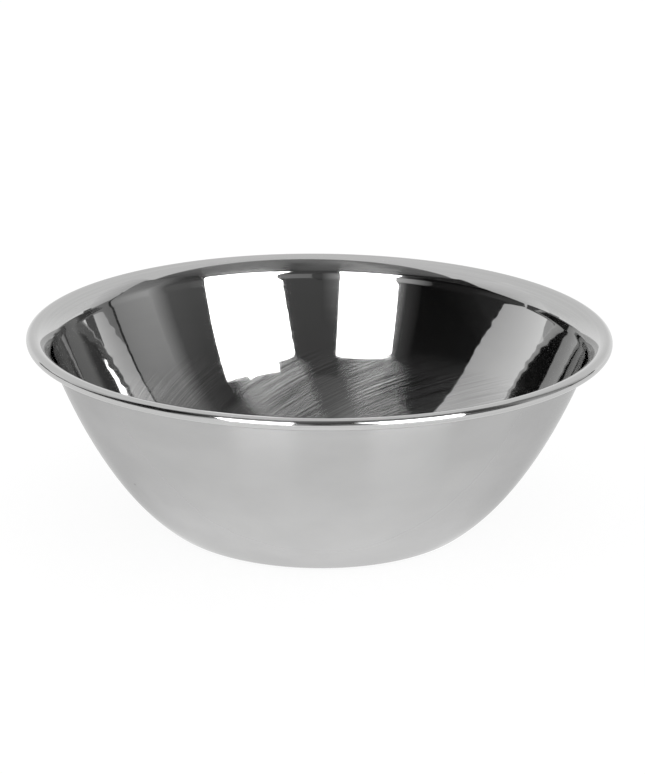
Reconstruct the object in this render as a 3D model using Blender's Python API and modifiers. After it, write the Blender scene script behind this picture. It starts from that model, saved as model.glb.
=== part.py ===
"""Stainless-steel mixing bowl, drawn from one sheet, with its edge rolled into a hollow bead.

Metres, +Z up. The origin is the centre of the flat underside, and the bowl is round about Z.
"""
import math

import bpy

# Driving dimensions
RIM_DIAMETER = 0.3000       # across the outside of the bead
HEIGHT = 0.1025             # underside to the top of the lip
SHEET = 0.0007              # thickness of the sheet
BASE_DIAMETER = 0.1454      # flat part of the underside
BASE_CORNER_RADIUS = 0.0148  # outer face of the corner between base and wall
WALL_START_SLOPE = math.radians(37.0)  # slope of the wall where the corner ends
WALL_END_SLOPE = math.radians(69.7)    # slope of the wall where the neck begins
WALL_START_PULL = 0.0300    # how far the start slope is held along the wall
WALL_END_PULL = 0.0350      # how far the end slope is held along the wall
NECK_SLOPE = math.radians(74.5)        # steepest band of the wall, just below the lip
NECK_FOOT_RADIUS = 0.022    # slight hollow from the wall into the neck
NECK_LENGTH = 0.0016        # straight part of the neck
NECK_BEND_RADIUS = 0.0080   # upper face of the bend out of the neck into the flare
FLARE_START_SLOPE = math.radians(60.0)  # slope of the flare at its foot
FLARE_RADIUS = 0.0210       # upper face of the flare
FLARE_END_SLOPE = math.radians(38.0)   # slope of the flare where the top of the lip begins
LIP_RADIUS = 0.0064         # upper face of the bend over the top of the lip
BEAD_DIAMETER = 0.0056      # outside of the rolled edge
BEAD_CLEARANCE = 0.0004     # left between the sheet's edge and the sheet above it

# How finely the curves are divided
TURN_STEPS = 64
CORNER_STEPS = 3
WALL_STEPS = 7
NECK_STEPS = 2
FLARE_STEPS = 2
LIP_STEPS = 3
BEAD_STEPS = 10
MERGE_DISTANCE = 0.00001

STEEL_COLOUR = (0.58, 0.58, 0.57, 1.0)
STEEL_ROUGHNESS = 0.14


def clear_scene():
    """Remove whatever objects the open file holds."""
    for old in list(bpy.data.objects):
        bpy.data.objects.remove(old, do_unlink=True)


def steel_material():
    """Polished stainless steel."""
    steel = bpy.data.materials.new("polished_steel")
    steel.use_nodes = True
    shader = steel.node_tree.nodes["Principled BSDF"]
    shader.inputs["Base Color"].default_value = STEEL_COLOUR
    shader.inputs["Metallic"].default_value = 1.0
    shader.inputs["Roughness"].default_value = STEEL_ROUGHNESS
    return steel


def bend(start, radius, start_slope, end_slope, steps):
    """An arc of the line that starts at a point and turns from one slope to the next, with the
    direction of travel at each of its points. The slopes are angles of travel above the level."""
    turn = math.copysign(1.0, end_slope - start_slope)
    centre = (start[0] - turn * radius * math.sin(start_slope), start[1] + turn * radius * math.cos(start_slope))
    quarter = -turn * math.pi / 2
    return arc(centre, radius, start_slope + quarter, end_slope + quarter, steps)


def arc(centre, radius, start, end, steps):
    """Points on an arc, after its first point, with the direction of travel at each."""
    turn = math.copysign(1.0, end - start)
    points = []
    for step in range(1, steps + 1):
        angle = start + (end - start) * step / steps
        place = (centre[0] + radius * math.cos(angle), centre[1] + radius * math.sin(angle))
        points.append((place, (-turn * math.sin(angle), turn * math.cos(angle))))
    return points


def bezier(start, start_slope, start_pull, end, end_slope, end_pull, steps):
    """Points on a cubic curve, after its first point, with the direction of travel at each."""
    first = (start[0] + start_pull * math.cos(start_slope), start[1] + start_pull * math.sin(start_slope))
    second = (end[0] - end_pull * math.cos(end_slope), end[1] - end_pull * math.sin(end_slope))
    points = []
    for step in range(1, steps + 1):
        t = step / steps
        s = 1.0 - t
        place = tuple(
            s ** 3 * start[k] + 3 * s * s * t * first[k] + 3 * s * t * t * second[k] + t ** 3 * end[k]
            for k in (0, 1)
        )
        way = tuple(
            s * s * (first[k] - start[k]) + 2 * s * t * (second[k] - first[k]) + t * t * (end[k] - second[k])
            for k in (0, 1)
        )
        length = math.hypot(*way)
        points.append((place, (way[0] / length, way[1] / length)))
    return points


def sheet_line():
    """The middle of the sheet, from the axis out along the base, up the wall, and round the bead."""
    half = SHEET / 2
    line = [((0.0, half), (1.0, 0.0)), ((BASE_DIAMETER / 2, half), (1.0, 0.0))]

    corner_centre = (BASE_DIAMETER / 2, BASE_CORNER_RADIUS)
    corner_start = -math.pi / 2
    line += arc(corner_centre, BASE_CORNER_RADIUS - half, corner_start,
                corner_start + WALL_START_SLOPE, CORNER_STEPS)

    # The neck, the flare and the top of the lip, drawn from the crest of the lip back to the wall
    bead_radius = BEAD_DIAMETER / 2
    crest = (RIM_DIAMETER / 2 - bead_radius, HEIGHT - half)
    level = math.pi
    lip = [(crest, (-1.0, 0.0))]
    lip += bend(crest, LIP_RADIUS - half, level, level + FLARE_END_SLOPE, LIP_STEPS)
    lip += bend(lip[-1][0], FLARE_RADIUS - half, level + FLARE_END_SLOPE, level + FLARE_START_SLOPE, FLARE_STEPS)
    lip += bend(lip[-1][0], NECK_BEND_RADIUS - half, level + FLARE_START_SLOPE, level + NECK_SLOPE, NECK_STEPS)
    neck_top, way = lip[-1]
    neck_foot = (neck_top[0] + NECK_LENGTH * way[0], neck_top[1] + NECK_LENGTH * way[1])
    lip += [(neck_foot, way)]
    lip += bend(neck_foot, NECK_FOOT_RADIUS, level + NECK_SLOPE, level + WALL_END_SLOPE, NECK_STEPS)

    line += bezier(line[-1][0], WALL_START_SLOPE, WALL_START_PULL,
                   lip[-1][0], WALL_END_SLOPE, WALL_END_PULL, WALL_STEPS)
    line += [(place, (-way[0], -way[1])) for place, way in lip[-2::-1]]

    bead_centre = (crest[0], HEIGHT - bead_radius)
    line += arc(bead_centre, bead_radius - half, math.pi / 2, bead_end_angle(), BEAD_STEPS)
    return line


def bead_end_angle():
    """Where the rolled edge stops: the angle at which it would meet the lip above it."""
    bead_radius = BEAD_DIAMETER / 2
    reach = LIP_RADIUS - SHEET - BEAD_CLEARANCE
    rise = LIP_RADIUS - bead_radius
    sine = (reach ** 2 - rise ** 2 - bead_radius ** 2) / (2 * rise * bead_radius)
    return -math.pi - math.asin(min(sine, 1.0))


def sheet_profile():
    """The sheet's cross-section: up its inner face, round its edge, and down its outer face."""
    half = SHEET / 2
    line = sheet_line()
    inner = [(x - half * way[1], z + half * way[0]) for (x, z), way in line]
    outer = [(x + half * way[1], z - half * way[0]) for (x, z), way in line]
    return inner + outer[::-1]


def turned(name, profile, collection, material):
    """An object made by turning a profile once round Z."""
    mesh = bpy.data.meshes.new(name)
    points = [(x, 0.0, z) for x, z in profile]
    edges = [(k, k + 1) for k in range(len(points) - 1)]
    mesh.from_pydata(points, edges, [])
    mesh.materials.append(material)
    piece = bpy.data.objects.new(name, mesh)
    collection.objects.link(piece)
    screw = piece.modifiers.new("turn", "SCREW")
    screw.axis = "Z"
    screw.angle = 2 * math.pi
    screw.steps = TURN_STEPS
    screw.render_steps = TURN_STEPS
    screw.use_merge_vertices = True
    screw.merge_threshold = MERGE_DISTANCE
    screw.use_smooth_shade = True
    return piece


def main():
    clear_scene()
    collection = bpy.data.collections.new("mixing_bowl")
    bpy.context.scene.collection.children.link(collection)
    turned("bowl", sheet_profile(), collection, steel_material())


main()
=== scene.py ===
"""Looks of the stainless-steel mixing bowl: fine sheet mesh, polished steel, studio and camera.

Metres, +Z up, in the same frame as the CAD model. The origin is the centre of the flat underside.
"""

import math

import bpy
import numpy as np
from mathutils import Matrix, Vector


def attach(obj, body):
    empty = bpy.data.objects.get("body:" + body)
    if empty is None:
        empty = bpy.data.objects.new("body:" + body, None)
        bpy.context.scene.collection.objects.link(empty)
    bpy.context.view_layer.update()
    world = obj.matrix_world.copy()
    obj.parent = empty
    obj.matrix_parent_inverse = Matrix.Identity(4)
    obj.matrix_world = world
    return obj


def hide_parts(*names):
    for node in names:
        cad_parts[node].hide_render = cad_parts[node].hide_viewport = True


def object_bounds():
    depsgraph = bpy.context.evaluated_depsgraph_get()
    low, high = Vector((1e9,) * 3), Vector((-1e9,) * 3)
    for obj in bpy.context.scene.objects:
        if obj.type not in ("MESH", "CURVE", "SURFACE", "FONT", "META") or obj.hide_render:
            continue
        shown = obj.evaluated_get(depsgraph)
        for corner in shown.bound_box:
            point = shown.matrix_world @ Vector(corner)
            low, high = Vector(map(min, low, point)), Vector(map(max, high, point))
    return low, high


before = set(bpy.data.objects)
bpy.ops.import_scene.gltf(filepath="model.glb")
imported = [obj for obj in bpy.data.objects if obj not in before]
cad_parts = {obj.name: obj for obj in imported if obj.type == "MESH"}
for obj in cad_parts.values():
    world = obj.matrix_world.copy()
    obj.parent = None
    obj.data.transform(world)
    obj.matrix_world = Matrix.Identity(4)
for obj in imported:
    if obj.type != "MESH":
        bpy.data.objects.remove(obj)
cad_low, cad_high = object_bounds()

# The bowl's own sizes: the outer ones come from the CAD box, the rest repeat the CAD model's
RIM_RADIUS = cad_high.x
HEIGHT = cad_high.z
SHEET = 0.0007
BASE_RADIUS = 0.0727
BASE_CORNER_RADIUS = 0.0148
WALL_START_SLOPE = math.radians(37.0)
WALL_END_SLOPE = math.radians(69.7)
WALL_START_PULL = 0.0300
WALL_END_PULL = 0.0350
NECK_SLOPE = math.radians(74.5)
NECK_FOOT_RADIUS = 0.022
NECK_LENGTH = 0.0016
NECK_BEND_RADIUS = 0.0080
FLARE_START_SLOPE = math.radians(60.0)
FLARE_RADIUS = 0.0210
FLARE_END_SLOPE = math.radians(38.0)
LIP_RADIUS = 0.0064
BEAD_RADIUS = 0.0028
BEAD_CLEARANCE = 0.0004

# How finely the mesh is divided
TURN_STEPS = 240
BASE_STEPS = 6
CORNER_STEPS = 10
WALL_STEPS = 96
NECK_STEPS = 8
FLARE_STEPS = 10
LIP_STEPS = 12
BEAD_STEPS = 30
SHARP_ANGLE = math.radians(50)

# The drawn wall's faint unevenness. Each wave has a strength, how many times it repeats round the
# bowl, how fast it turns on the way up in radians a metre, and where it starts.
RIPPLE_DEPTH = 0.000006
RIPPLE_WAVES = ((1.0, 5, 90, 0.0), (0.8, 9, -150, 1.3), (0.7, 3, 260, 4.1))
RING_DEPTH = 0.0000045
RING_PITCH = 0.0085
UNEVEN_FROM, UNEVEN_FULL = 0.012, 0.032
UNEVEN_UNTIL, UNEVEN_GONE = 0.086, 0.094

# The order of the sheet's finishes in the mesh
INSIDE, LIP, OUTSIDE = range(3)


# ---------------------------------------------------------------- the sheet's cross-section

def straight(start, end, steps):
    """Points on a straight line, after its first point, with the direction of travel at each."""
    way = np.subtract(end, start)
    way = way / np.linalg.norm(way)
    span = np.subtract(end, start)
    return [(np.add(start, span * step / steps), way) for step in range(1, steps + 1)]


def arc(centre, radius, start, end, steps):
    """Points on an arc, after its first point, with the direction of travel at each."""
    turn = math.copysign(1.0, end - start)
    points = []
    for step in range(1, steps + 1):
        angle = start + (end - start) * step / steps
        spoke = np.array((math.cos(angle), math.sin(angle)))
        points.append((np.add(centre, radius * spoke), turn * np.array((-spoke[1], spoke[0]))))
    return points


def bezier(start, start_slope, start_pull, end, end_slope, end_pull, steps):
    """Points on a cubic curve, after its first point, with the direction of travel at each."""
    first = start + start_pull * np.array((math.cos(start_slope), math.sin(start_slope)))
    second = end - end_pull * np.array((math.cos(end_slope), math.sin(end_slope)))
    points = []
    for step in range(1, steps + 1):
        t = step / steps
        s = 1.0 - t
        place = s ** 3 * start + 3 * s * s * t * first + 3 * s * t * t * second + t ** 3 * end
        way = s * s * (first - start) + 2 * s * t * (second - first) + t * t * (end - second)
        points.append((place, way / np.linalg.norm(way)))
    return points


def bend(start, radius, start_slope, end_slope, steps):
    """An arc of the line that starts at a point and turns from one slope of travel to the next."""
    turn = math.copysign(1.0, end_slope - start_slope)
    centre = np.add(start, turn * radius * np.array((-math.sin(start_slope), math.cos(start_slope))))
    quarter = -turn * math.pi / 2
    return arc(centre, radius, start_slope + quarter, end_slope + quarter, steps)


def bead_end_angle():
    """Where the rolled edge stops, just short of the lip above it."""
    reach = LIP_RADIUS - SHEET - BEAD_CLEARANCE
    rise = LIP_RADIUS - BEAD_RADIUS
    sine = (reach ** 2 - rise ** 2 - BEAD_RADIUS ** 2) / (2 * rise * BEAD_RADIUS)
    return -math.pi - math.asin(min(sine, 1.0))


def lip_line(crest, half):
    """The middle of the sheet from the lip's crest back down to the top of the wall."""
    level = math.pi
    line = [(crest, np.array((-1.0, 0.0)))]
    line += bend(crest, LIP_RADIUS - half, level, level + FLARE_END_SLOPE, LIP_STEPS)
    line += bend(line[-1][0], FLARE_RADIUS - half,
                 level + FLARE_END_SLOPE, level + FLARE_START_SLOPE, FLARE_STEPS)
    line += bend(line[-1][0], NECK_BEND_RADIUS - half,
                 level + FLARE_START_SLOPE, level + NECK_SLOPE, NECK_STEPS)
    neck_top, way = line[-1]
    line += [(neck_top + NECK_LENGTH * way, way)]
    line += bend(line[-1][0], NECK_FOOT_RADIUS, level + NECK_SLOPE, level + WALL_END_SLOPE, NECK_STEPS)
    return line


def sheet_line():
    """The middle of the sheet from the axis out along the base, up the wall and round the bead,
    and which of its points is the lip's crest."""
    half = SHEET / 2
    line = [(np.array((0.0, half)), np.array((1.0, 0.0)))]
    line += straight((0.0, half), (BASE_RADIUS, half), BASE_STEPS)
    line += arc((BASE_RADIUS, BASE_CORNER_RADIUS), BASE_CORNER_RADIUS - half,
                -math.pi / 2, -math.pi / 2 + WALL_START_SLOPE, CORNER_STEPS)
    crest = np.array((RIM_RADIUS - BEAD_RADIUS, HEIGHT - half))
    lip = lip_line(crest, half)
    line += bezier(line[-1][0], WALL_START_SLOPE, WALL_START_PULL,
                   lip[-1][0], WALL_END_SLOPE, WALL_END_PULL, WALL_STEPS)
    line += [(place, -way) for place, way in lip[-2::-1]]
    crest_index = len(line) - 1
    line += arc((crest[0], HEIGHT - BEAD_RADIUS), BEAD_RADIUS - half,
                math.pi / 2, bead_end_angle(), BEAD_STEPS)
    return line, crest_index


# ---------------------------------------------------------------- the bowl's mesh

def ripple(angle, height):
    """How far the wall stands off the perfect curve, in metres. It fades out at the base and the neck."""
    rise = np.clip((height - UNEVEN_FROM) / (UNEVEN_FULL - UNEVEN_FROM), 0, 1)
    fall = np.clip((UNEVEN_GONE - height) / (UNEVEN_GONE - UNEVEN_UNTIL), 0, 1)
    waves = sum(strength * np.sin(lobes * angle + climb * height + start)
                for strength, lobes, climb, start in RIPPLE_WAVES)
    turn = 2 * math.pi * height / RING_PITCH
    rings = np.sin(turn + 0.6 * np.sin(3 * angle))
    rings = rings + 0.7 * np.sin(1.63 * turn + 2.0 + 0.8 * np.sin(4 * angle + 1.0))
    return rise * fall * (RIPPLE_DEPTH * waves + RING_DEPTH * rings)


def bowl_mesh():
    """The whole sheet as one closed mesh, turned round Z, with a finish for each of its faces."""
    line, crest_index = sheet_line()
    half = SHEET / 2
    places = np.array([p for p, _ in line])
    ways = np.array([w for _, w in line])
    normals = np.stack((-ways[:, 1], ways[:, 0]), axis=1)
    sides = np.concatenate((places + half * normals, (places - half * normals)[::-1]))
    side_normals = np.concatenate((normals, normals[::-1]))

    rows = sides[1:-1]
    row_normals = side_normals[1:-1]
    angles = np.arange(TURN_STEPS) * 2 * math.pi / TURN_STEPS
    offset = ripple(angles[None, :], rows[:, 1][:, None])
    radius = rows[:, 0][:, None] + offset * row_normals[:, 0][:, None]
    height = rows[:, 1][:, None] + offset * row_normals[:, 1][:, None]
    points = np.stack((radius * np.cos(angles), radius * np.sin(angles), height + 0 * angles), axis=2)
    vertices = points.reshape(-1, 3).tolist()
    floor_pole = len(vertices)
    vertices.append((0.0, 0.0, sides[0][1]))
    under_pole = len(vertices)
    vertices.append((0.0, 0.0, sides[-1][1]))

    flare_index = crest_index - LIP_STEPS - FLARE_STEPS - 2
    outside_index = 2 * len(line) - crest_index
    faces = []
    finishes = []
    row_count = len(rows)
    for column in range(TURN_STEPS):
        following = (column + 1) % TURN_STEPS
        faces.append((floor_pole, column, following))
        finishes.append(INSIDE)
        for row in range(row_count - 1):
            low, high = row * TURN_STEPS, (row + 1) * TURN_STEPS
            faces.append((low + column, high + column, high + following, low + following))
            step = row + 1
            if step < flare_index:
                finishes.append(INSIDE)
            elif step < outside_index:
                finishes.append(LIP)
            else:
                finishes.append(OUTSIDE)
        last = (row_count - 1) * TURN_STEPS
        faces.append((last + column, under_pole, last + following))
        finishes.append(OUTSIDE)

    mesh = bpy.data.meshes.new("bowl_sheet")
    mesh.from_pydata(vertices, [], faces)
    mesh.polygons.foreach_set("material_index", finishes)
    mesh.polygons.foreach_set("use_smooth", [True] * len(faces))
    mesh.set_sharp_from_angle(angle=SHARP_ANGLE)
    mesh.update()
    return mesh


# ---------------------------------------------------------------- materials

STEEL_REFLECTANCE = 0.53
# The outside's grey is below the inside's partly for the satin and partly as painted shade, dimming the
# bright table it shows
SATIN_AND_SHADE_REFLECTANCE = 0.475
POLISHED_EDGE = 0.92                # how much light polished steel returns where it is seen edge on
SATIN_EDGE = 0.72                   # the same for the satin outside
PIT_REFLECTANCE = 0.10
WORN_PIT_REFLECTANCE = 0.12         # the same on the lip and outside, where pits are more worn

# The buffing wheel's work low inside
BUFFED_UNTIL, BUFFED_FULL = 0.058, 0.044    # heights between which it fades in, going down
BUFFED_EDGE_SWAY = 0.02             # how far clouds move those heights
STREAK_TWIST = 21.0                 # radians that a streak turns round the bowl for each metre it climbs
SMEAR_LEAN = math.radians(26.0)     # how far the haze there leans from upright

# How deep the marks are, in metres
STREAK_DEPTH = 0.0000032
INSIDE_LINE_DEPTH = 0.0000006
LIP_LINE_DEPTH = 0.0000005
OUTSIDE_LINE_DEPTH = 0.0000012
PIT_DEPTH = 0.00002
OUTSIDE_PIT_DEPTH = 0.00003


def grey(value):
    """A barely warm grey."""
    return (value, value, value * 0.995, 1.0)


class Shading:
    """A material's node tree, with short ways to add and link nodes."""

    def __init__(self, name):
        self.material = bpy.data.materials.new(name)
        self.material.use_nodes = True
        self.tree = self.material.node_tree
        self.shader = self.tree.nodes["Principled BSDF"]
        self.haze = self.tree.nodes.new("ShaderNodeBsdfAnisotropic")
        self.place = self.add("ShaderNodeTexCoord").outputs["Object"]

    def add(self, kind, inputs=None, **settings):
        """A new node with its settings, and its inputs linked or set."""
        node = self.tree.nodes.new(kind)
        for key, value in settings.items():
            setattr(node, key, value)
        for key, value in (inputs or {}).items():
            self.feed(node.inputs[key], value)
        return node

    def feed(self, socket, value):
        """Link a socket to the node that makes its value, or set it to a plain value."""
        if isinstance(value, bpy.types.NodeSocket):
            self.tree.links.new(value, socket)
        else:
            socket.default_value = value

    def math(self, operation, first, second):
        node = self.add("ShaderNodeMath", {0: first, 1: second}, operation=operation)
        return node.outputs[0]

    def vector(self, operation, first, second=None):
        """Vector maths on one value or two."""
        inputs = {0: first} if second is None else {0: first, 1: second}
        return self.add("ShaderNodeVectorMath", inputs, operation=operation).outputs[0]

    def noise(self, vector, scale, detail=2.0, roughness=0.5):
        node = self.add("ShaderNodeTexNoise",
                        {"Vector": vector, "Scale": scale, "Detail": detail, "Roughness": roughness})
        return node.outputs["Fac"]

    def remap(self, value, low, high, to_low=0.0, to_high=1.0):
        """A smooth step of a value from one range to another."""
        inputs = {"Value": value, "From Min": low, "From Max": high, "To Min": to_low, "To Max": to_high}
        return self.add("ShaderNodeMapRange", inputs, interpolation_type="SMOOTHSTEP").outputs["Result"]

    def colour_mix(self, amount, first, second):
        node = self.add("ShaderNodeMix", {0: amount, 6: first, 7: second}, data_type="RGBA")
        return node.outputs[2]

    def varied(self, value, reflectance, spread=0.03):
        """A grey that wanders either side of a reflectance, by a share of it, as a noise does."""
        return self.colour_mix(self.remap(value, 0.3, 0.7),
                               grey(reflectance * (1 - spread)), grey(reflectance * (1 + spread)))

    def lines(self, across, along):
        """Fine level lines from turning: noise squeezed flat, in cycles a metre across and along Z."""
        return self.noise(self.vector("MULTIPLY", self.place, (across, across, along)), 1.0, 3.0, 0.6)

    def pits(self, scale, share):
        """Sparse tiny pits: 1 inside a pit, 0 elsewhere."""
        cells = self.add("ShaderNodeTexVoronoi", {"Vector": self.place, "Scale": scale})
        near = self.remap(cells.outputs["Distance"], 0.03, 0.09, 1.0, 0.0)
        chance = self.add("ShaderNodeSeparateColor", {"Color": cells.outputs["Color"]}).outputs[0]
        return self.math("MULTIPLY", near, self.math("LESS_THAN", chance, share))

    def streaks(self, height, fineness, stretch, detail):
        """Noise drawn out into lines that climb round the bowl, seamless all the way round."""
        turned = self.add("ShaderNodeVectorRotate",
                          {"Vector": self.place, "Angle": self.math("MULTIPLY", height, STREAK_TWIST)},
                          rotation_type="Z_AXIS").outputs[0]
        round_place = self.vector("NORMALIZE", self.vector("MULTIPLY", turned, (1.0, 1.0, 0.0)))
        spread = self.vector("MULTIPLY", round_place, (fineness, fineness, 0.0))
        climb = self.add("ShaderNodeCombineXYZ", {"Z": self.math("MULTIPLY", height, stretch)}).outputs[0]
        return self.noise(self.vector("ADD", spread, climb), 1.0, detail, 0.6)

    def bump(self, height, distance, normal=None):
        inputs = {"Height": height, "Distance": distance, "Strength": 1.0}
        if normal is not None:
            inputs["Normal"] = normal
        return self.add("ShaderNodeBump", inputs).outputs["Normal"]

    def upright(self):
        """The direction of Z, which the haze stretches along."""
        return self.add("ShaderNodeCombineXYZ", {"Z": 1.0}).outputs[0]

    def finish(self, colour, edge, roughness, haze_roughness, stretch, haze_share, smear, normal):
        """Metal with a sharp mirror image, and a share of haze that is stretched along one direction."""
        self.shader.inputs["Metallic"].default_value = 1.0
        self.shader.inputs["Specular Tint"].default_value = (edge, edge, edge, 1.0)
        self.haze.distribution = "BECKMANN"
        self.haze.inputs["Anisotropy"].default_value = -stretch
        self.feed(self.shader.inputs["Base Color"], colour)
        self.feed(self.haze.inputs["Color"], colour)
        self.feed(self.haze.inputs["Tangent"], smear)
        for shader, rough in ((self.shader, roughness), (self.haze, haze_roughness)):
            self.feed(shader.inputs["Roughness"], rough)
            self.feed(shader.inputs["Normal"], normal)
        mix = self.tree.nodes.new("ShaderNodeMixShader")
        self.feed(mix.inputs["Fac"], haze_share)
        self.feed(mix.inputs[1], self.shader.outputs["BSDF"])
        self.feed(mix.inputs[2], self.haze.outputs["BSDF"])
        self.feed(self.tree.nodes["Material Output"].inputs["Surface"], mix.outputs["Shader"])
        return self.material


def leaning_smear(s, low_zone):
    """Upright, but leaning round the bowl where it is buffed."""
    around = s.vector("NORMALIZE", s.vector("CROSS_PRODUCT", (0.0, 0.0, 1.0), s.place))
    lean = s.math("MULTIPLY", low_zone, math.tan(SMEAR_LEAN))
    leaning = s.add("ShaderNodeVectorMath", {0: around, "Scale": lean}, operation="SCALE").outputs[0]
    return s.vector("ADD", leaning, (0.0, 0.0, 1.0))


def inside_steel():
    """Bright polish with turning lines, and the buffing wheel's climbing streaks low down."""
    s = Shading("steel_inside")
    height = s.add("ShaderNodeSeparateXYZ", {"Vector": s.place}).outputs["Z"]
    clouds = s.noise(s.place, 22.0, 3.0)
    sway = s.math("MULTIPLY", s.math("SUBTRACT", clouds, 0.5), BUFFED_EDGE_SWAY)
    low_zone = s.remap(s.math("ADD", height, sway), BUFFED_UNTIL, BUFFED_FULL)
    coarse = s.streaks(height, 95.0, 30.0, 4.0)
    fine = s.streaks(height, 260.0, 60.0, 2.0)
    marks = s.math("ADD", s.math("MULTIPLY", coarse, 0.5), s.math("MULTIPLY", fine, 0.5))
    lines = s.lines(7.0, 1100.0)
    pits = s.pits(160.0, 0.02)

    buffed = s.colour_mix(s.remap(marks, 0.40, 0.60),
                          grey(STEEL_REFLECTANCE * 0.82), grey(STEEL_REFLECTANCE * 1.08))
    colour = s.colour_mix(low_zone, s.varied(clouds, STEEL_REFLECTANCE), buffed)
    colour = s.colour_mix(pits, colour, grey(PIT_REFLECTANCE))
    haze_share = s.add("ShaderNodeMix", {0: low_zone, 2: 0.012, 3: s.remap(marks, 0.42, 0.58, 0.05, 0.20)},
                       data_type="FLOAT").outputs[0]
    normal = s.bump(s.math("MULTIPLY", marks, low_zone), STREAK_DEPTH)
    normal = s.bump(lines, INSIDE_LINE_DEPTH, normal)
    normal = s.bump(pits, -PIT_DEPTH, normal)
    return s.finish(colour, POLISHED_EDGE, s.remap(lines, 0.3, 0.7, 0.02, 0.05), 0.23, 0.78,
                    haze_share, leaning_smear(s, low_zone), normal)


def lip_steel():
    """The flare, the top of the lip and the bead, smoothed by the rolling tool along the edge."""
    s = Shading("steel_lip")
    lines = s.lines(9.0, 1600.0)
    pits = s.pits(170.0, 0.02)
    colour = s.colour_mix(pits, s.varied(lines, STEEL_REFLECTANCE), grey(WORN_PIT_REFLECTANCE))
    normal = s.bump(pits, -PIT_DEPTH, s.bump(lines, LIP_LINE_DEPTH))
    return s.finish(colour, POLISHED_EDGE, 0.05, 0.25, 0.76,
                    s.remap(lines, 0.3, 0.7, 0.07, 0.17), s.upright(), normal)


def outside_steel():
    """Satin polish, with faint clouds, turning lines and a few pits, on a grey dimmed partly by painted
    shade.
    """
    s = Shading("steel_outside")
    clouds = s.noise(s.vector("MULTIPLY", s.place, (1.0, 1.0, 1.6)), 28.0, 4.0, 0.55)
    lines = s.lines(7.0, 800.0)
    pits = s.pits(110.0, 0.035)
    # The outside's grey: satin steel, dimmed in part as painted shade
    colour = s.colour_mix(pits, s.varied(clouds, SATIN_AND_SHADE_REFLECTANCE), grey(WORN_PIT_REFLECTANCE))
    normal = s.bump(pits, -OUTSIDE_PIT_DEPTH, s.bump(lines, OUTSIDE_LINE_DEPTH))
    return s.finish(colour, SATIN_EDGE, s.remap(clouds, 0.3, 0.7, 0.09, 0.15), 0.38, 0.7,
                    0.26, s.upright(), normal)


# ---------------------------------------------------------------- the studio

CARD_CENTRE = (0.0, 0.0, 0.09)
CARD_STEPS = 24
NEAR, FAR, PAPER = 2.2, 2.6, 2.8    # how far the softboxes, the room and the pale paper stand, in metres
SOFTBOX_TONE = 450                  # far past white, so that the boxes burn out
PAPER_TONE = 184
CEILING_HEIGHT = 2.4
CEILING_STEPS = 60
ROUND_STEPS = 96


def clamped(value):
    return min(max(value, 0.0), 1.0)


def bell(value, centre, width):
    """1 at the centre, falling smoothly to nothing on both sides."""
    return math.exp(-((value - centre) / width) ** 2)


def glow_for(tone):
    """How bright a card is that the steel shows as a screen tone from 0 to 255."""
    value = tone / 255
    linear = value / 12.92 if value <= 0.04045 else ((value + 0.055) / 1.055) ** 2.4
    return linear / STEEL_REFLECTANCE


def direction(azimuth, elevation):
    """Unit vector at an azimuth from the camera's side, positive to the camera's right, in degrees."""
    a, e = math.radians(azimuth), math.radians(elevation)
    return np.array((math.sin(a) * math.cos(e), -math.cos(a) * math.cos(e), math.sin(e)))


def blend(corners, u, v):
    """A value between four corners: low start, low end, high start, high end."""
    low_start, low_end, high_start, high_end = corners
    return (low_start * (1 - u) + low_end * u) * (1 - v) + (high_start * (1 - u) + high_end * u) * v


def card_material():
    """A card that glows as bright as its own "glow" value says."""
    material = bpy.data.materials.new("card")
    material.use_nodes = True
    tree = material.node_tree
    tree.nodes.clear()
    out = tree.nodes.new("ShaderNodeOutputMaterial")
    light = tree.nodes.new("ShaderNodeEmission")
    tree.links.new(light.outputs[0], out.inputs["Surface"])
    attribute = tree.nodes.new("ShaderNodeAttribute")
    attribute.attribute_name = "glow"
    tree.links.new(attribute.outputs["Fac"], light.inputs["Strength"])
    return material


def grid_faces(columns, rows):
    """The faces of a grid of points that has one more column and one more row."""
    wide = columns + 1
    return [(k, k + 1, k + wide + 1, k + wide)
            for k in (row * wide + column for row in range(rows) for column in range(columns))]


def stage_glow(name, vertices, faces, glow, material):
    """A glowing mesh that only the steel sees."""
    mesh = bpy.data.meshes.new(name)
    mesh.from_pydata(vertices, [], faces)
    mesh.attributes.new("glow", "FLOAT", "POINT").data.foreach_set("value", glow)
    mesh.materials.append(material)
    piece = bpy.data.objects.new(name, mesh)
    bpy.context.scene.collection.objects.link(piece)
    piece.visible_camera = False
    piece.visible_diffuse = False
    piece.visible_shadow = False


def card(name, corners, distance, tones, material, flat=False):
    """A card that the bowl sees between four corners, each an (azimuth, elevation) in degrees, with a
    tone at each corner. It is part of a sphere round the bowl, or flat between its corners."""
    ends = [direction(*corner) * distance for corner in corners]
    angles = [np.array(corner, float) for corner in corners]
    glows = [glow_for(tone) for tone in tones]
    vertices = []
    glow = []
    for row in range(CARD_STEPS + 1):
        v = row / CARD_STEPS
        for column in range(CARD_STEPS + 1):
            u = column / CARD_STEPS
            place = blend(ends, u, v) if flat else direction(*blend(angles, u, v)) * distance
            vertices.append(tuple(np.add(place, CARD_CENTRE)))
            glow.append(blend(glows, u, v))
    stage_glow(name, vertices, grid_faces(CARD_STEPS, CARD_STEPS), glow, material)


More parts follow.
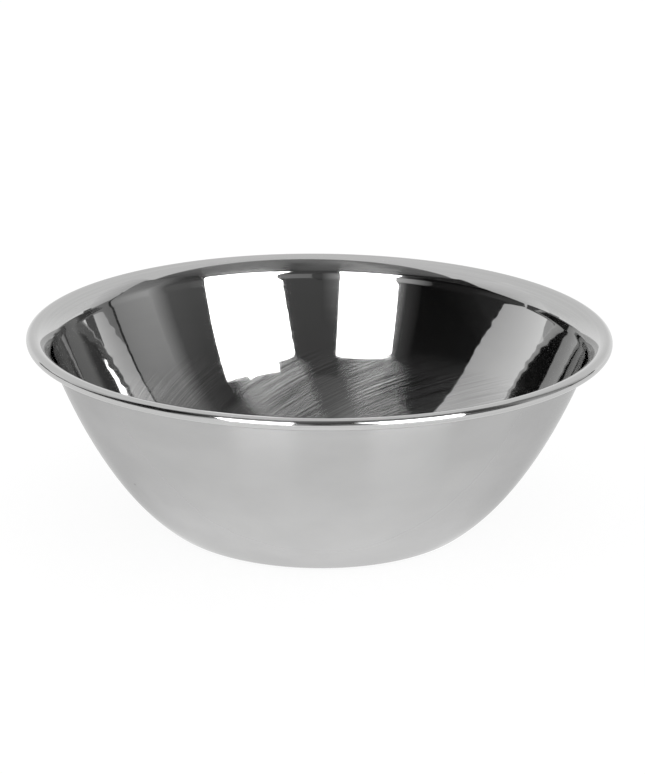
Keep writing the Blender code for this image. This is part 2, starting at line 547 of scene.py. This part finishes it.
def softboxes(m):
    """Two flat softboxes in front of the bowl, either side of the camera, and the light they spill."""
    full = (SOFTBOX_TONE,) * 4
    card("softbox_right", ((23.0, 0), (52.6, 0), (14.6, 40.0), (59.8, 39.3)), NEAR, full, m, flat=True)
    card("softbox_right_rise", ((24.4, 38), (46, 38), (25.4, 43.4), (46, 42.3)), NEAR, full, m)
    card("softbox_left", ((-9.4, 0), (-31.4, 0), (-9.9, 40.5), (-42.3, 36.8)), NEAR, full, m, flat=True)
    card("softbox_right_corner", ((40, 9), (62, 9), (40, 15.8), (62, 20)), NEAR * 0.98, (100, 80, 100, 80), m)
    card("softbox_left_glow", ((-10, 14), (-1, 14), (-10, 34), (-1, 34)), NEAR * 1.02, (150, 66, 62, 56), m)
    card("softbox_left_foot", ((-33, -2), (-58, -2), (-36, 18.5), (-52, 18.5)), NEAR * 1.01,
         (215, 90, 150, 35), m)
    card("softbox_left_rim", ((-33, 4), (-38, 4), (-39.5, 40), (-46, 40)), NEAR * 1.02, (150, 40, 132, 60), m)
    card("softbox_left_spill", ((-38, 4), (-43.5, 4), (-46, 40), (-55, 40)), NEAR * 1.02, (36, 14, 60, 24), m)


def dark_room(m):
    """The unlit side of the room, behind the camera and the softboxes."""
    card("gap", ((-12, 18), (24, 18), (-12, 46), (24, 46)), FAR, (66, 66, 54, 54), m)
    card("gap_foot", ((-12, -2), (26, -2), (-12, 19.5), (26, 19.5)), FAR * 0.99, (112, 140, 90, 106), m)
    card("tripod", ((-3, 0), (9, 0), (-1, 26), (1, 26)), FAR * 0.97, (86, 86, 46, 46), m)
    card("dark_side_toe", ((-130, -2), (-104, -2), (-130, 4.8), (-106, 6.2)), FAR, (50, 60, 50, 60), m)
    card("dark_side_foot", ((-114, -2), (-40, -2), (-97, 10.5), (-40, 10.5)), FAR, (75, 90, 40, 40), m)
    card("dark_side_low", ((-97, 10.5), (-42, 10.5), (-90, 18.5), (-42, 18.5)), FAR, (36, 14, 32, 13), m)
    card("dark_side_middle", ((-90, 18.5), (-42, 18.5), (-87.4, 22), (-42, 22)), FAR, (26, 12, 16, 10), m)
    card("dark_side_high", ((-87.4, 22), (-42, 22), (-81.6, 46), (-42, 46)), FAR, (14, 10, 16, 24), m)
    card("right_strip", ((52, -2), (64, -2), (54, 46), (64, 46)), FAR, (92, 88, 34, 40), m)
    card("right_side", ((64, -2), (75, -2), (64, 46), (75, 46)), FAR, (88, 88, 40, 52), m)
    card("right_rise", ((75, -2), (84, -2), (75, 46), (84, 46)), FAR, (88, 154, 52, 78), m)
    card("far_right_side", ((84, -2), (106.6, -2), (84, 46), (106, 46)), FAR, (160, 126, 80, 98), m)
    card("right_edge", ((106.8, -2), (108.6, -2), (106, 30), (107, 30)), FAR * 0.98, (40,) * 4, m)


def ceiling_tone(x, y, back):
    """Palest at its back edge, with light from the softboxes on either side of a darker band."""
    azimuth = math.degrees(math.atan2(x, -y))
    tone = 100 - 12 * (back - y) - 15 * max(0.0, abs(x) - 0.6)
    tone += 30 * bell(azimuth, -33, 11) - 24 * bell(azimuth, 20, 7)
    tone += 28 * bell(azimuth, 45, 10) * clamped((-y - 0.8) / 0.5)
    return max(tone, 48)


def ceiling(m):
    """The dark ceiling over the camera's half of the room, ending in a straight edge near overhead."""
    front, half_width = -2.6, 9.0
    edge_at_middle, edge_slant = -0.113, 0.194
    vertices = []
    glow = []
    for row in range(CEILING_STEPS + 1):
        v = row / CEILING_STEPS
        for column in range(CEILING_STEPS + 1):
            x = half_width * (2 * column / CEILING_STEPS - 1)
            back = edge_at_middle + edge_slant * x
            y = front * (1 - v) + back * v
            vertices.append((x, y, CEILING_HEIGHT))
            glow.append(glow_for(ceiling_tone(x, y, back)))
    stage_glow("ceiling", vertices, grid_faces(CEILING_STEPS, CEILING_STEPS), glow, m)


def white_sweep(m):
    """The pale paper round the back and the sides of the bowl, as glowing cards that only the steel sees,
    with the paper's light and shade painted into their tones.
    """
    card("left_panel", ((-86, 8), (-122, 2), (-82, 30), (-122, 30)), PAPER, (130, 204, 158, 186), m)
    card("left_panel_top", ((-82, 30), (-122, 30), (-75, 48), (-122, 48)), PAPER, (158, 186, 185, 190), m)
    card("right_panel", ((107, 15.5), (124, 15.5), (106, 48), (124, 48)), PAPER, (146, 176, 164, 182), m)
    card("right_panel_low", ((116, 7), (124, 5.5), (107, 15.5), (124, 15.5)), PAPER, (150, 184, 144, 176), m)
    card("right_panel_foot", ((106, -2), (128, -2), (106, 17), (128, 7)), PAPER * 1.01, (98, 120, 96, 120), m)
    card("right_panel_end", ((120.6, 3), (127, 3), (120.6, 9.5), (127, 9.5)), PAPER * 0.98, (68,) * 4, m)
    card("left_panel_end", ((-121.5, 2), (-130, 2), (-121.5, 7.5), (-130, 7.5)), PAPER * 0.98, (140,) * 4, m)
    card("back_foot", ((125, -2), (236, -2), (125, 18), (236, 18)), PAPER, (204, 204, 184, 184), m)


def circle(radius, height):
    """Points round a level circle about Z."""
    angles = (2 * math.pi * k / ROUND_STEPS for k in range(ROUND_STEPS))
    return [(radius * math.cos(angle), radius * math.sin(angle), height) for angle in angles]


def table_glow(m):
    """The light that gathers on the table close round the bowl's foot, seen only in the steel: a painted pool
    of light, brighter in front, with a painted shadow behind the bowl.
    """
    height = 0.0004
    # Each ring's radius, its glow, the painted light added in front of the bowl, and the share taken away
    # behind it as painted shadow
    rings = ((0.078, 1.22, 0.0, 0.30), (0.100, 1.20, 0.0, 0.28), (0.120, 1.12, 0.0, 0.16),
             (0.145, 1.03, 0.0, 0.04), (0.172, 0.99, 0.0, 0.0), (0.188, 0.98, 0.14, 0.0),
             (0.21, 0.97, 0.14, 0.0), (0.26, 0.97, 0.0, 0.0))
    vertices = []
    glow = []
    faces = []
    for radius, strength, light_in_front, shadow_behind in rings:
        for point in circle(radius, height):
            backward = point[1] / radius
            back = clamped((backward + 0.6) / 0.6)
            front = clamped((-backward - 0.75) / 0.2)
            vertices.append(point)
            # Painted light in front of the bowl, painted shadow behind it
            glow.append(strength * (1.0 - shadow_behind * back) + light_in_front * front)
    for ring in range(len(rings) - 1):
        low, high = ring * ROUND_STEPS, (ring + 1) * ROUND_STEPS
        for k in range(ROUND_STEPS):
            following = (k + 1) % ROUND_STEPS
            faces.append((low + k, high + k, high + following, low + following))
    stage_glow("table_glow", vertices, faces, glow, m)


def studio():
    """The glowing cards, and an even white all round behind them."""
    material = card_material()
    table_glow(material)
    softboxes(material)
    dark_room(material)
    ceiling(material)
    white_sweep(material)
    world = bpy.data.worlds.new("studio")
    world.use_nodes = True
    background = world.node_tree.nodes["Background"]
    background.inputs["Color"].default_value = (1.0, 1.0, 1.0, 1.0)
    background.inputs["Strength"].default_value = glow_for(PAPER_TONE)
    bpy.context.scene.world = world


def table():
    """A plain pale table top, far wider than the view, lit so evenly that it is nearly burnt out."""
    radius = 12.0
    mesh = bpy.data.meshes.new("table")
    mesh.from_pydata(circle(radius, 0.0), [], [tuple(range(ROUND_STEPS))])
    material = bpy.data.materials.new("table")
    material.use_nodes = True
    shader = material.node_tree.nodes["Principled BSDF"]
    shader.inputs["Base Color"].default_value = (0.16, 0.16, 0.16, 1.0)
    shader.inputs["Roughness"].default_value = 1.0
    shader.inputs["Specular IOR Level"].default_value = 0.0
    shader.inputs["Emission Color"].default_value = (1.0, 1.0, 1.0, 1.0)
    shader.inputs["Emission Strength"].default_value = 0.88
    mesh.materials.append(material)
    piece = bpy.data.objects.new("table", mesh)
    bpy.context.scene.collection.objects.link(piece)


def camera():
    """In front of the bowl, a little above it, with a long lens."""
    distance, height, focal_length = 1.2995, 0.4893, 122.74
    pitch, yaw, roll = math.radians(17.86), math.radians(0.078), math.radians(0.475)
    data = bpy.data.cameras.new("camera")
    data.sensor_width = 36.0
    data.lens = focal_length
    data.clip_end = 50.0
    eye = bpy.data.objects.new("camera", data)
    eye.rotation_mode = "XYZ"
    eye.location = (0.0, -distance, height)
    turn = (Matrix.Rotation(-yaw, 4, "Z") @ Matrix.Rotation(math.pi / 2 - pitch, 4, "X")
            @ Matrix.Rotation(roll, 4, "Z"))
    eye.rotation_euler = turn.to_euler()
    bpy.context.scene.collection.objects.link(eye)
    bpy.context.scene.camera = eye


bowl = bpy.data.objects.new("mixing_bowl", bowl_mesh())
bpy.context.scene.collection.objects.link(bowl)
bowl.data.materials.append(inside_steel())
bowl.data.materials.append(lip_steel())
bowl.data.materials.append(outside_steel())
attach(bowl, "root")
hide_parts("bowl")

table()
studio()
camera()
bpy.context.scene.view_settings.view_transform = "Standard"
